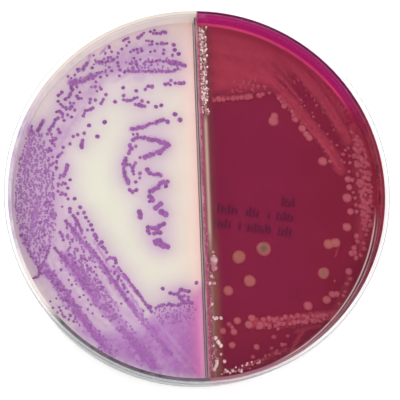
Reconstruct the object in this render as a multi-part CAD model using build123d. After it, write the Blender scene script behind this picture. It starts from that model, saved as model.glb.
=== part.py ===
"""A 90 mm petri dish with two compartments, its lid, its two gels and what grows on them.

Frame: millimetres, +Z up, origin at the middle of the foot ring's underside. The divider runs
along Y, a little to the +X side of the middle. The cream gel is on its -X side and the red gel
on its +X side.
"""

import math
import os

from build123d import *

# Dish, one clear moulding
DISH_RADIUS = 44.0
WALL = 0.8
INNER_RADIUS = DISH_RADIUS - WALL
FOOT_RADIUS = 41.5
FOOT_WIDTH = 1.2
FOOT_HEIGHT = 0.7
FLOOR = 1.2
FLOOR_TOP = FOOT_HEIGHT + FLOOR
RIM_Z = 13.9
RIM_ROUND = 0.3
BASE_ROUND = 0.8
GATE_RADIUS = 1.6
GATE_HEIGHT = 0.25

# Divider, moulded with the dish, slightly thinner at its top
DIVIDER_X = 1.3
DIVIDER_FOOT = 1.2
DIVIDER_CREST = 0.9
DIVIDER_TOP_Z = 11.2

# Lid, one clear moulding
LID_RADIUS = 45.0
LID_WALL = 0.7
LID_PLATE = 1.0
LID_SKIRT_Z = 6.3
LUG_COUNT = 3
LUG_WIDTH = 2.4
LUG_LENGTH = 3.0
LUG_HEIGHT = 0.5
LUG_PLAY = 0.1
LID_UNDER_Z = RIM_Z + LUG_PLAY + LUG_HEIGHT
LID_TOP_Z = LID_UNDER_Z + LID_PLATE
LID_ROUND = 0.7
STACK_RADIUS = 42.7
STACK_WIDTH = 0.8
STACK_HEIGHT = 0.6

# Gels
GEL_PLAY = 0.02
GEL_TOP_Z = 6.0
GEL_BASE_Z = FLOOR_TOP + GEL_PLAY / 2
MENISCUS_WIDTH = 0.95
MENISCUS_HEIGHT = 0.8
MENISCUS_ROUND = 0.7
GEL_CORNER = 1.5

# Growth
FILM_HEIGHT = 0.18
COLONY_HEIGHT_SHARE = 0.55
BEAD_SPACING = 1.9
BEAD_RADIUS = 0.75

# Print under the floor
INK = 0.05
MARK_TILT = -9.0

# Streaks are (x, y) paths with a width. Rows are evenly spaced colonies from one end to the other.
VIOLET_STREAKS = [
    ([(-3.5, -27.5), (-13.5, -28.5), (-22, -33)], 5.0),
    ([(-3.5, -33), (-15, -34.5), (-21, -36)], 6.5),
    ([(-4, -39), (-13, -39)], 4.5),
    ([(-13.3, -25.5), (-21.5, -12.8), (-28.6, -0.4)], 1.2),
    ([(-15.4, -30.7), (-25.6, -16), (-30, -5.1)], 2.6),
    ([(-22.7, -32.8), (-31.5, -14.6), (-34, -10.9)], 2.2),
    ([(-26.3, -32.8), (-34.6, -18), (-36.9, -15)], 1.6),
    ([(-28.6, 27.4), (-24.6, 28.4), (-19.6, 30.4)], 2.0),
]
VIOLET_ROWS = [
    ((-10.6, 38.9), (-7.1, 39.6), 3),
    ((-14.6, 36.9), (-5, 37.4), 5),
    ((-16, 35.1), (-4, 35.4), 8),
    ((-14.5, 33.2), (-4, 33.4), 7),
    ((-17.2, 27.6), (-4, 28.4), 9),
    ((-25, 26), (-10, 25.6), 9),
    ((-32, 24.4), (-21.5, 23.4), 8),
    ((-35, 19.6), (-26, 20), 7),
    ((-37, 15.4), (-30, 15.2), 6),
    ((-38.4, 11.4), (-33, 10.6), 5),
    ((-39.5, 6.8), (-33.6, 5.4), 5),
    ((-40, 1.8), (-33.8, 0.4), 5),
    ((-39.6, -4), (-35, -5.6), 4),
    ((-8.8, 19.2), (-15.6, 17.6), 5),
    ((-14.6, 15.8), (-7.1, 13.9), 6),
    ((-8, 12.4), (-12.4, 10.6), 3),
    ((-17.1, 13.4), (-18.6, 4.2), 6),
    ((-13.4, 7.4), (-9.4, 6), 3),
    ((-8.2, 3.4), (-11.6, 1.6), 3),
    ((-11.4, -1.6), (-8.4, -3.6), 3),
    ((-14.2, -3), (-11.2, -7.8), 4),
    ((-9.2, -6), (-7, -10.8), 4),
]
RED_STREAKS = [
    ([(6.6, 37.4), (11.2, 31.5), (15.8, 26.4)], 2.6),
    ([(19, 26), (24.6, 20.9), (30, 13), (33.6, 7)], 2.8),
    ([(26.2, 30), (31.4, 21.8), (35.6, 14.6)], 2.0),
    ([(14.5, -28.9), (28.4, -31)], 2.0),
    ([(13.4, -38.2), (22.4, -36.2), (27.4, -33.6)], 1.6),
]
RED_ROWS = [
    ((6.4, 24), (13.6, 23.6), 5),
    ((6.8, -29), (12.2, -31), 4),
    ((16.7, -33.6), (20, -33.4), 2),
    ((7.2, -34.8), (11.2, -36), 3),
    ((36.4, 11.2), (39.9, 1.2), 6),
    ((39.9, -2.2), (37.6, -13.2), 7),
    ((37.4, -15.2), (33.2, -23.2), 5),
]
# (x, y, radius)
LARGE_COLONIES = [
    (18.3, 18.6, 1.2),
    (23.3, 17.6, 0.7),
    (26.0, 14.4, 1.1),
    (29.4, 7.4, 1.1),
    (35.6, 1.2, 0.9),
    (36.2, -1.4, 0.8),
    (36.2, -6.8, 1.0),
    (33.2, -10.8, 1.3),
    (30.4, -12.4, 1.3),
    (29.6, -18.5, 1.4),
    (14.8, -12.2, 1.7),
    (9.0, -13.9, 1.7),
    (11.2, -19.5, 1.4),
    (6.9, -21.7, 1.2),
    (25.5, -25.6, 1.1),
    (29.3, -25.0, 0.9),
    (31.0, -21.6, 0.9),
    (33.0, -19.6, 0.8),
]
COLONY_RADIUS = 0.6
BEAD_X = 4.5
BEAD_STRETCHES = [(20, 38), (-39, -24)]
# The mark: rows of groups of ticks, each group given by its length, from the right end
MARK_ROWS = [(3.6,), (4.4, 1.6, 4.0, 5.2), (3.8, 6.0, 1.4, 4.6)]
MARK_CORNER = (23.3, -2.6)
MARK_LINE = 3.6
MARK_GAP = 1.1
TICK_PITCH = 0.85
TICK_WIDTH = 0.5
TICK_HEIGHTS = (2.4, 1.6, 2.0)


def tube(outer, inner, low, high):
    """A ring of rectangular section between two heights."""
    ring = Cylinder(outer, high - low) - Cylinder(inner, high - low)
    return Pos(0, 0, (low + high) / 2) * ring


def disc(radius, low, high):
    return Pos(0, 0, (low + high) / 2) * Cylinder(radius, high - low)


def edges_at(shape, radius, height):
    """The round edges of a shape at one radius and height."""
    found = shape.edges().filter_by(GeomType.CIRCLE)
    return found.filter_by(lambda e: abs(e.radius - radius) < 0.01 and abs(e.center().Z - height) < 0.01)


def dish_base():
    """Floor, foot ring, the stub left by the moulding gate, wall and divider."""
    shell = disc(DISH_RADIUS, FOOT_HEIGHT, RIM_Z) - disc(INNER_RADIUS, FLOOR_TOP, RIM_Z)
    shell = fillet(edges_at(shell, DISH_RADIUS, FOOT_HEIGHT), BASE_ROUND)
    rim = edges_at(shell, DISH_RADIUS, RIM_Z) + edges_at(shell, INNER_RADIUS, RIM_Z)
    shell = fillet(rim, RIM_ROUND)
    foot = tube(FOOT_RADIUS, FOOT_RADIUS - FOOT_WIDTH, 0, FOOT_HEIGHT)
    foot = fillet(foot.edges().group_by(Axis.Z)[0], FOOT_WIDTH / 4)
    gate = disc(GATE_RADIUS, FOOT_HEIGHT - GATE_HEIGHT, FOOT_HEIGHT)
    gate = fillet(gate.edges().group_by(Axis.Z)[0], GATE_HEIGHT / 2)
    return shell + foot + gate + divider()


def divider():
    """The drafted wall between the compartments, run a little way into the round wall."""
    foot, crest = DIVIDER_FOOT / 2, DIVIDER_CREST / 2
    low, high = FLOOR_TOP - FLOOR / 2, DIVIDER_TOP_Z
    section = Plane.XZ * Polygon((-foot, low), (foot, low), (crest, high), (-crest, high), align=None)
    wall = extrude(section, DISH_RADIUS, both=True)
    crest_edges = wall.edges().filter_by(Axis.Y).group_by(Axis.Z)[-1]
    wall = fillet(crest_edges, DIVIDER_CREST / 3)
    return Pos(DIVIDER_X, 0, 0) * wall & disc(INNER_RADIUS + WALL / 2, 0, RIM_Z)


def lid():
    """Plate, skirt, stacking ring and the lugs that hold the plate off the rim for air."""
    cap = disc(LID_RADIUS, LID_SKIRT_Z, LID_TOP_Z) - disc(LID_RADIUS - LID_WALL, LID_SKIRT_Z, LID_UNDER_Z)
    cap = fillet(edges_at(cap, LID_RADIUS, LID_TOP_Z), LID_ROUND)
    cap = fillet(edges_at(cap, LID_RADIUS, LID_SKIRT_Z), LID_WALL / 3)
    ring = tube(STACK_RADIUS, STACK_RADIUS - STACK_WIDTH, LID_TOP_Z, LID_TOP_Z + STACK_HEIGHT)
    ring = fillet(ring.edges().group_by(Axis.Z)[-1], STACK_WIDTH / 4)
    cap += ring
    reach = LID_RADIUS - LID_WALL / 2
    lug = Box(LUG_LENGTH, LUG_WIDTH, LUG_HEIGHT, align=(Align.MAX, Align.CENTER, Align.MAX))
    for index in range(LUG_COUNT):
        cap += Rot(0, 0, 30 + 360 / LUG_COUNT * index) * Pos(reach, 0, LID_UNDER_Z) * lug
    return cap


def half_disc(radius, inset, side):
    """The plan of one compartment, -1 or 1, ending at an inset from the divider's middle."""
    middle = DIVIDER_X + side * (inset + radius)
    return Circle(radius) & Pos(middle, 0) * Rectangle(2 * radius, 2 * radius)


def gel(side):
    """One poured half disc with the meniscus that climbs its walls."""
    edge = INNER_RADIUS - GEL_PLAY
    start = DIVIDER_FOOT / 2 + GEL_PLAY
    height = GEL_TOP_Z + MENISCUS_HEIGHT - GEL_BASE_Z
    body = extrude(half_disc(edge, start, side), height)
    pool = half_disc(edge - MENISCUS_WIDTH, start + MENISCUS_WIDTH, side)
    pool = fillet(pool.vertices(), GEL_CORNER)
    body -= Pos(0, 0, height - MENISCUS_HEIGHT) * extrude(pool, MENISCUS_HEIGHT)
    level = body.edges().filter_by_position(
        Axis.Z, height - MENISCUS_HEIGHT - 0.01, height - MENISCUS_HEIGHT + 0.01
    )
    body = fillet(level, MENISCUS_ROUND)
    return Pos(0, 0, GEL_BASE_Z) * body


def growth_plan(side):
    """Where growth may lie: the flat of a gel, clear of its meniscus."""
    climb = GEL_PLAY + MENISCUS_WIDTH + MENISCUS_ROUND
    return half_disc(INNER_RADIUS - climb, DIVIDER_FOOT / 2 + climb, side)


def streak_film(streaks, side):
    """The thin raised film of all the streaks on one gel."""
    plan = Sketch()
    for path, width in streaks:
        for start, end in zip(path, path[1:]):
            run = Vector(*end) - Vector(*start)
            middle = (Vector(*end) + Vector(*start)) * 0.5
            angle = math.degrees(math.atan2(run.Y, run.X))
            plan += Pos(middle.X, middle.Y) * Rot(0, 0, angle) * SlotCenterToCenter(run.length, width)
    plan &= growth_plan(side)
    return Pos(0, 0, GEL_TOP_Z) * extrude(plan, FILM_HEIGHT)


def dome(x, y, radius):
    """A colony: a low cap standing on the gel."""
    height = radius * COLONY_HEIGHT_SHARE
    ball = (radius**2 + height**2) / (2 * height)
    cap = split(Pos(0, 0, height - ball) * Sphere(ball), bisect_by=Plane.XY, keep=Keep.TOP)
    return Pos(x, y, GEL_TOP_Z) * cap


def colony_rows(rows):
    """Evenly spaced colonies along straight rows."""
    domes = []
    for start, end, count in rows:
        for index in range(count):
            share = index / (count - 1)
            x = start[0] + (end[0] - start[0]) * share
            y = start[1] + (end[1] - start[1]) * share
            domes.append(dome(x, y, COLONY_RADIUS))
    return Compound(domes)


def divider_growth():
    """Glossy beads of growth along the foot of the divider, on the red gel."""
    beads = []
    for low, high in BEAD_STRETCHES:
        count = int((high - low) / BEAD_SPACING) + 1
        for index in range(count):
            shift = 0.25 * (-1) ** index
            beads.append(dome(BEAD_X + shift, low + BEAD_SPACING * index, BEAD_RADIUS))
    return Compound(beads)


def base_mark():
    """A generic print on the underside of the floor: rows of ticks that spell nothing."""
    ticks = []
    for row, groups in enumerate(MARK_ROWS):
        start = 0
        for length in groups:
            for index in range(int(length / TICK_PITCH)):
                height = TICK_HEIGHTS[(index + row) % len(TICK_HEIGHTS)]
                tick = Box(TICK_WIDTH, height, INK, align=(Align.MAX, Align.MIN, Align.MAX))
                ticks.append(Pos(-start - index * TICK_PITCH, -MARK_LINE * row, 0) * tick)
            start += length + MARK_GAP
    corner = Pos(MARK_CORNER[0], MARK_CORNER[1], FOOT_HEIGHT) * Rot(0, 0, MARK_TILT)
    return Compound([corner * tick for tick in ticks])


nodes = {
    "dish_base": dish_base(),
    "lid": lid(),
    "cream_agar": gel(-1),
    "red_agar": gel(1),
    "violet_growth": streak_film(VIOLET_STREAKS, -1),
    "violet_colonies": colony_rows(VIOLET_ROWS),
    "red_growth": streak_film(RED_STREAKS, 1),
    "red_colonies": colony_rows(RED_ROWS),
    "large_colonies": Compound([dome(*place) for place in LARGE_COLONIES]),
    "divider_growth": divider_growth(),
    "base_mark": base_mark(),
}

os.makedirs("parts", exist_ok=True)
for name, shape in nodes.items():
    export_step(shape, f"parts/{name}.step")
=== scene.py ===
"""Looks of the petri dish: clear plastic, two wet gels, the growth on them, a pale table and soft light.

Lengths are in metres in the scene. The tables and the geometry functions work in millimetres.
Growth is laid out on a plan that is a little larger than the gels, and place() fits it to each gel.
"""

import math

import bpy
import numpy as np
from mathutils import Matrix, Vector
from mathutils.bvhtree import BVHTree


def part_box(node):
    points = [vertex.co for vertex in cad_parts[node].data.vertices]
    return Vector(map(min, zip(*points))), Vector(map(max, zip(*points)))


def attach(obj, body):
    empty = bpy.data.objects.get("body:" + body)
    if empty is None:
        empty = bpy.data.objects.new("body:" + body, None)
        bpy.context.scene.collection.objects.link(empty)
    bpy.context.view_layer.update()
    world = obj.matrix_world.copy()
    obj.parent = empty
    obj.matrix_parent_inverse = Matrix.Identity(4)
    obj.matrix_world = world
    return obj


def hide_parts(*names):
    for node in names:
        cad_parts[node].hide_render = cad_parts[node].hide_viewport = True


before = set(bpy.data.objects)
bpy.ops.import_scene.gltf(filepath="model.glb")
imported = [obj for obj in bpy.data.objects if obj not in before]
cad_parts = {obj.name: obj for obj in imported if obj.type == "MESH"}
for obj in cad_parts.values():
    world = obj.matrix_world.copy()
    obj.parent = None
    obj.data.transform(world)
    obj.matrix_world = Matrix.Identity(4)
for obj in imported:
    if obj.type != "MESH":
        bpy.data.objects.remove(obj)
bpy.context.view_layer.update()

MM = 0.001
CREAM, RED = -1, 1  # the sides of the divider, as signs of x
random = np.random.RandomState(7)

# The gels, from the frame
gel_low, gel_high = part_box("red_agar")
GEL_RADIUS = -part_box("cream_agar")[0].x / MM
FACE = {CREAM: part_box("cream_agar")[1].x / MM, RED: gel_low.x / MM}
GEL_BASE = gel_low.z / MM
GEL_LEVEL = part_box("red_colonies")[0].z / MM
CLIMB = gel_high.z / MM - GEL_LEVEL
CLIMB_REACH = 1.3  # how far from a wall the meniscus starts
ROWS, COLUMNS = 440, 205  # points of each gel's grid

# The mouldings: outer sizes from the frame, and heights and widths of their details
RIM_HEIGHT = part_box("dish_base")[1].z / MM
DIVIDER_X = (FACE[CREAM] + FACE[RED]) / 2
CREST_HALF = 0.45
DIVIDER_TOP = 11.2
LID_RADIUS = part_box("lid")[1].x / MM
LID_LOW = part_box("lid")[0].z / MM
LID_PLATE_TOP = 15.5

# The growth plan: where the divider's faces and the round wall lie on it
PLAN_RADIUS = 44.7
PLAN_FACE = {CREAM: 1.2, RED: 2.2}
PLAN_GIVE = 5.0  # how far from the divider the fitting fades

# Growth on the gels
THINNEST = 0.05  # density below which there is no film
WALL_GAP = 0.25  # least room between a colony and the round wall
FACE_GAP = 0.1  # least room between a colony and the divider
SPACING_GIVE = 1.3  # the dots of a row stand this much wider apart than its table says
SOFT_SPAN = 64  # cells of the table behind soft_noise
DOME_RINGS = ((1.0, -0.1), (0.86, 0.5), (0.48, 0.92))  # shares of a colony's radius and height

# Light and camera
WORLD_LIGHT = 0.62
LAMPS = [  # name, place, size and power
    ("key", (-0.35, 0.45, 0.55), 0.5, 2.5),
    ("fill", (0.55, -0.1, 0.45), 0.5, 1.6),
    ("low", (-0.1, -0.6, 0.4), 0.45, 1.4),
]
TABLE_REACH = 1.5
CAMERA_DISTANCE = 0.45
CAMERA_LENS = 172.0
CAMERA_TILT = math.radians(12)
CAMERA_SIDE = math.radians(250)
CAMERA_ROLL = math.radians(-2.1)
CAMERA_TARGET = Vector((0.0009, -0.0006, 0.008))

# Films: path, width, strength
VIOLET_FILMS = [
    ([(-36.6, -15.8), (-33.2, -20.4), (-29.4, -26), (-25.6, -31.6), (-21.4, -37.4)], 2.5, 1.0),
    ([(-33.2, -23.4), (-29.6, -28.2), (-27.4, -32)], 0.7, 0.7),
    (
        [(-31.4, -13.2), (-27.8, -17.8), (-24.4, -22.6), (-19.6, -29), (-14.4, -36), (-11.6, -40.4)],
        3.6, 0.95,
    ),
    ([(-26, -15.4), (-22.6, -20.6), (-19.4, -25.6)], 1.1, 0.5),
    (
        [(-28.8, -7.6), (-24.6, -12.4), (-20.6, -18.4), (-16, -25), (-11.4, -31.4), (-7.4, -37.4)],
        1.7, 0.85,
    ),
    ([(-24.4, -9.6), (-20.8, -15.6), (-16.4, -22), (-13.6, -26.6)], 0.8, 0.65),
    ([(-19.4, -16.2), (-15.4, -21), (-11.2, -26.8)], 0.6, 0.95),
    ([(-20.2, -15.8), (-18.6, -18.6), (-16.6, -21.6)], 0.8, 0.55),
    ([(-33.8, -11), (-31, -14.8)], 0.5, 0.7),
    ([(-40, -18.7), (-38.5, -18), (-38.1, -16.6), (-37.4, -15.2)], 0.55, 0.9),
    ([(-38, 0.6), (-38.8, -3.4), (-39.6, -8)], 1.7, 0.75),
    ([(-42.2, -8), (-40.4, -12), (-38.2, -16)], 1.0, 0.6),
    ([(-35.2, -9.4), (-36.9, -14.8)], 0.9, 0.55),
    ([(-40.4, 19), (-39.6, 15), (-41.2, 8)], 1.4, 0.5),
    ([(-37.9, 18), (-36.3, 20.3)], 0.8, 0.8),
    ([(-29.6, 29.9), (-26.4, 30.2), (-24, 31.2)], 1.7, 0.9),
    ([(-24, 31.4), (-21, 31.9)], 0.9, 0.5),
    ([(-22.8, 34.8), (-20.4, 34.7), (-18.6, 35.2)], 1.0, 0.6),
    ([(-26.6, 33), (-25.6, 35)], 0.7, 0.8),
    ([(-25.1, 35.2), (-24.9, 38)], 0.5, 0.5),
    ([(-22.2, 37.1), (-20.6, 39.2)], 0.5, 0.6),
    ([(-15.8, 32), (-10, 31.8), (-4.4, 31.6), (-2.9, 32.3)], 0.8, 0.75),
    ([(-10.8, 34.3), (-7, 34.5), (-3.4, 34.1), (-1.4, 33.1)], 0.9, 0.7),
    ([(-7, 19.4), (-11, 18.2), (-14.8, 17.3)], 0.8, 0.65),
    ([(-14.3, 14.9), (-12, 15.3), (-8, 14.4), (-6, 13.4), (-7.5, 12), (-11.8, 10.6)], 0.9, 0.7),
    ([(-16.2, 10), (-16.8, 8), (-16.5, 6), (-15.8, 4.2)], 0.9, 0.7),
    ([(-10.9, 7.2), (-10, 6.4), (-8, 6)], 0.7, 0.5),
    ([(-6.6, 4.3), (-8.4, 3.6), (-10.6, 2.2)], 0.9, 0.6),
]
# Lawns: outline, strength, how far the edge fades, which way the loop ran in degrees
VIOLET_LAWNS = [
    (
        [(-11.4, -26.6), (-7, -25.4), (-3, -24.6), (1.2, -24.2), (1.2, -45), (-8, -44.6), (-17, -41.6),
         (-24, -37.6), (-28.8, -33.4), (-30.4, -30.2), (-27, -29.4), (-24, -31), (-20.5, -30.5),
         (-17, -31.6), (-14.4, -30)],
        0.66, 3.4, -52,
    ),
    (
        [(-40, 18), (-36, 17), (-33.6, 8), (-31.6, 1), (-31.6, -5), (-35, -11), (-38, -16),
         (-41, -11), (-43.6, -6), (-44.6, 2), (-43.6, 9), (-42, 14)],
        0.2, 2.4, 84,
    ),
    ([(-31.4, -4), (-29, -4), (-24, -12), (-22, -18), (-26, -17), (-31, -12)], 0.2, 2.4, -55),
    ([(-30, -28), (-26, -28.4), (-20, -28), (-14, -30), (-12, -28), (-16, -24), (-24, -25)], 0.3, 4.0, -52),
    ([(-15.4, 31.6), (-15, 35.6), (-10, 36.4), (-2.4, 35), (-1.6, 32.6), (-4, 31.4)], 0.15, 1.2, 0),
]
# The tinge in the gel round dense growth, with the same columns; None runs round the dish
VIOLET_CLOUDS = [
    (
        [(-44, -4), (-33, -4), (-28.4, -4), (-22, -12.6), (-12, -26), (-3, -23), (1.2, -22), (1.2, -45),
         (-20, -42), (-34, -29), (-41, -18)],
        0.85, 3.0, None,
    ),
    (
        [(-38, 17), (-32, 29), (-20, 41), (-6, 44), (-1.6, 37), (-2.6, 30), (-12, 27), (-19, 27.6),
         (-22, 23), (-28, 12), (-31, 2), (-31, -4), (-44, -4), (-44, 10)],
        1.0, 6.0, None,
    ),
]
# Dotted rows: path, spacing, scatter, radius
VIOLET_ROWS = [
    ([(-15.8, 32), (-10, 31.8), (-4.4, 31.6), (-2.9, 32.3)], 0.62, 0.1, 0.36),
    ([(-10.8, 34.3), (-7, 34.5), (-3.4, 34.1)], 0.62, 0.15, 0.36),
    ([(-5, 34), (-1.3, 33.2)], 0.5, 0.25, 0.5),
    ([(-14.8, 34), (-14.2, 32.8)], 0.8, 0.1, 0.34),
    ([(-13.2, 34.6), (-13, 33)], 0.8, 0.1, 0.34),
    ([(-11.3, 33.8), (-11, 32.9)], 0.8, 0.1, 0.34),
    ([(-10.8, 40), (-9.6, 40), (-9, 39.2), (-10, 38.8)], 0.7, 0.1, 0.36),
    ([(-6.9, 39.1), (-5.4, 39.2)], 0.6, 0.1, 0.45),
    ([(-6.3, 37.5), (-6.4, 36.5)], 0.7, 0.05, 0.38),
    ([(-14.6, 37.3), (-13.2, 37.8), (-12.8, 37), (-11.9, 37.2)], 0.6, 0.1, 0.36),
    ([(-8.8, 42.2), (-7.2, 42.2), (-6.4, 42.7), (-5.9, 42.3)], 0.6, 0.1, 0.46),
    ([(-12.7, 41.1), (-11.8, 41.7)], 0.5, 0.05, 0.42),
    ([(-16.4, 40.5), (-15.5, 41.3)], 0.5, 0.1, 0.36),
    ([(-20.8, 37.2), (-19.5, 37.5)], 0.7, 0.1, 0.34),
    ([(-26.5, 33.1), (-25.6, 34.9)], 0.5, 0.1, 0.36),
    ([(-23, 35), (-21.5, 34.6), (-20, 34.8), (-18.6, 35.2)], 0.55, 0.3, 0.38),
    ([(-21.4, 35.7), (-19.4, 35.9)], 0.7, 0.2, 0.36),
    ([(-17.8, 34.3), (-17.2, 32.6)], 0.6, 0.1, 0.38),
    ([(-29.4, 30), (-26, 30.2), (-24, 31.4), (-20.5, 31.7)], 0.6, 0.6, 0.36),
    ([(-30.3, 31.7), (-29.6, 30.9)], 0.6, 0.1, 0.38),
    ([(-29.6, 29.1), (-29.2, 27.8), (-30, 26), (-30.7, 25.6)], 0.55, 0.12, 0.42),
    ([(-24.2, 28.3), (-22.6, 28.5), (-21.8, 27.8), (-22.8, 27.1)], 0.85, 0.1, 0.38),
    ([(-27.9, 26.1), (-27.5, 25.5), (-26.8, 25.6)], 0.6, 0.05, 0.38),
    ([(-32.7, 26.7), (-31.8, 27.4)], 0.55, 0.05, 0.4),
    ([(-31.4, 23.6), (-30.6, 23.4), (-30.6, 22.8)], 0.7, 0.05, 0.36),
    ([(-21.3, 25.1), (-21.9, 24)], 0.55, 0.05, 0.42),
    ([(-24.5, 25.2), (-23.4, 25)], 0.6, 0.05, 0.42),
    ([(-25.2, 22.4), (-24, 22.9)], 0.6, 0.05, 0.4),
    ([(-26.3, 21), (-25.7, 22.3)], 0.5, 0.05, 0.42),
    ([(-28.8, 24.3), (-29.6, 22.9)], 0.5, 0.1, 0.4),
    ([(-32.2, 22.6), (-31.4, 21.1)], 0.5, 0.15, 0.42),
    ([(-33.3, 20.3), (-32.7, 20.7)], 0.5, 0.05, 0.4),
    ([(-10.3, 27.9), (-9.4, 27.9)], 0.5, 0.05, 0.46),
    ([(-6.2, 28.4), (-5.4, 28.5)], 0.5, 0.05, 0.44),
    ([(-4.9, 28.2), (-4.7, 29.3)], 0.6, 0.05, 0.42),
    ([(-2.8, 28.5), (-1.5, 28.6)], 0.5, 0.08, 0.52),
    ([(-16.3, 24.6), (-14.7, 24.5), (-13.2, 25.1)], 0.5, 0.12, 0.46),
    ([(-13.5, 23.4), (-11.2, 23.1)], 0.55, 0.12, 0.48),
    ([(-11.9, 24.2), (-10.5, 24)], 0.75, 0.1, 0.44),
    ([(-7, 19.4), (-11, 18.2), (-14.8, 17.3)], 0.52, 0.16, 0.44),
    ([(-14.4, 16.1), (-13.3, 16.2)], 0.6, 0.1, 0.38),
    ([(-14.3, 14.9), (-12, 15.3), (-8, 14.4), (-5.9, 13.5)], 0.45, 0.22, 0.48),
    ([(-5.8, 13.3), (-7.5, 11.9), (-11.8, 10.6)], 0.45, 0.2, 0.5),
    ([(-15, 13.4), (-15.5, 11.6)], 0.5, 0.15, 0.44),
    ([(-14.6, 12.6), (-13.8, 13.1)], 0.6, 0.1, 0.42),
    ([(-16.1, 10.4), (-16.9, 8.6), (-16.6, 6.4), (-15.7, 4.1)], 0.46, 0.14, 0.47),
    ([(-13.9, 9.1), (-14.7, 7.8), (-14.4, 6.5)], 0.55, 0.1, 0.4),
    ([(-16, 8.7), (-15.3, 8.8)], 0.5, 0.1, 0.42),
    ([(-13, 6.5), (-13.1, 5.4)], 0.6, 0.05, 0.4),
    ([(-14.8, 2.2), (-14, 2.6)], 0.55, 0.05, 0.5),
    ([(-11.3, 7.5), (-10.1, 6.4), (-7.8, 6)], 0.5, 0.2, 0.48),
    ([(-6.3, 4.4), (-8.2, 3.9), (-8.8, 2.8), (-10.8, 2.2)], 0.48, 0.2, 0.52),
    ([(-10.7, 1.1), (-10, 0.1), (-10.8, -0.3)], 0.55, 0.1, 0.5),
    ([(-8, -0.8), (-9.3, -1.9)], 0.5, 0.2, 0.6),
    ([(-8.1, -2.9), (-7.2, -3.5)], 0.5, 0.15, 0.66),
    ([(-13.3, -2.6), (-13.1, -4)], 0.55, 0.05, 0.52),
    ([(-8.8, -6.2), (-7.6, -5.8)], 0.5, 0.1, 0.52),
    ([(-11.5, -6.5), (-11.2, -8)], 0.5, 0.1, 0.55),
    ([(-10.7, -6.8), (-9.1, -7)], 0.5, 0.15, 0.56),
    ([(-10, -8.1), (-8.6, -7.8)], 0.5, 0.1, 0.54),
    ([(-10, -9.8), (-8.4, -9.6), (-8.8, -10.5), (-9.6, -10.4)], 0.5, 0.1, 0.58),
    ([(-8.4, -10.7), (-6.8, -11.2)], 0.5, 0.08, 0.66),
    ([(-26.5, 15.1), (-26.8, 13.2)], 0.42, 0.06, 0.46),
    ([(-40, 19.2), (-39.2, 17.4)], 0.45, 0.12, 0.4),
    ([(-37.8, 18), (-36.4, 20.3)], 0.42, 0.1, 0.42),
    ([(-34.9, 17.9), (-33.6, 19.5)], 0.55, 0.1, 0.4),
    ([(-32.5, 17.9), (-32.1, 17.2)], 0.5, 0.1, 0.42),
    ([(-35.3, 17), (-34.3, 16.8)], 0.6, 0.1, 0.4),
    ([(-34.2, 14.6), (-33.3, 15.7)], 0.5, 0.12, 0.4),
    ([(-35, 12.5), (-34.3, 12.7)], 0.5, 0.05, 0.4),
    ([(-32.7, 11.1), (-31.7, 12)], 0.5, 0.05, 0.42),
    ([(-34.3, 9), (-33.1, 9.9)], 0.5, 0.1, 0.42),
    ([(-31.3, 6.4), (-30.2, 8.9)], 0.45, 0.08, 0.44),
    ([(-32.6, 2.6), (-30.9, 1.9)], 0.6, 0.1, 0.42),
    ([(-29.8, -1.6), (-29.8, -2.4)], 0.5, 0.05, 0.44),
    ([(-29, -3.2), (-28, -5.4), (-27.2, -6.9)], 0.5, 0.1, 0.46),
    ([(-25.5, -4.8), (-25, -5.6)], 0.5, 0.05, 0.46),
    ([(-24.1, -8), (-23.6, -8.6)], 0.4, 0.08, 0.5),
    ([(-22.4, -9.9), (-22.1, -11), (-21.5, -12.2)], 0.55, 0.15, 0.44),
    ([(-23.9, -8.9), (-22.9, -10.6), (-22, -11.4)], 0.6, 0.1, 0.38),
    ([(-20.6, -13.6), (-19.3, -13.8), (-19.2, -14.9)], 0.45, 0.06, 0.4),
    ([(-31, -4.6), (-30.4, -5.2), (-29.4, -6.6), (-28.6, -7.6)], 0.6, 0.15, 0.4),
    ([(-32.4, -7.4), (-31.6, -9)], 0.45, 0.08, 0.42),
    ([(-33.8, -11), (-31, -14.8)], 0.45, 0.05, 0.34),
    ([(-36.2, -16.2), (-33, -20.8), (-30, -25.2)], 0.5, 0.85, 0.36),
    ([(-18.6, -16), (-15, -21.2), (-11.3, -26.6)], 0.42, 0.06, 0.36),
    ([(-20.2, -16), (-16.8, -21.6)], 0.55, 0.4, 0.36),
    ([(-24.4, -12), (-20, -19), (-17, -23.6)], 0.5, 0.2, 0.36),
    ([(-31.2, -13), (-27.8, -17.6), (-25.6, -21.4)], 0.5, 1.3, 0.36),
    ([(-27, -13), (-24.6, -17.6), (-22.6, -21.4)], 0.7, 0.6, 0.34),
    ([(-40, -18.7), (-38.5, -18), (-38.1, -16.6), (-37.2, -15.2)], 0.4, 0.05, 0.3),
    ([(-42.2, -8.2), (-40.2, -12), (-38.2, -16)], 0.5, 0.3, 0.36),
    ([(-35.2, -10.6), (-36.9, -14.8)], 0.5, 0.2, 0.36),
    ([(-35, 0), (-36.6, -6), (-37.6, -12)], 0.75, 1.1, 0.36),
    ([(-5.6, -22.6), (-4.4, -21.9), (-3.3, -21.5), (-1.8, -22.1)], 0.55, 0.25, 0.44),
    ([(-4.8, -22.9), (-2.4, -23.4)], 0.5, 0.3, 0.42),
    ([(-4.4, -23.7), (-2.4, -24.5)], 0.5, 0.4, 0.42),
    ([(-11.8, -25.8), (-8, -25.2), (-5, -25.1), (-1.4, -24.6)], 0.55, 0.3, 0.4),
]
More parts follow.
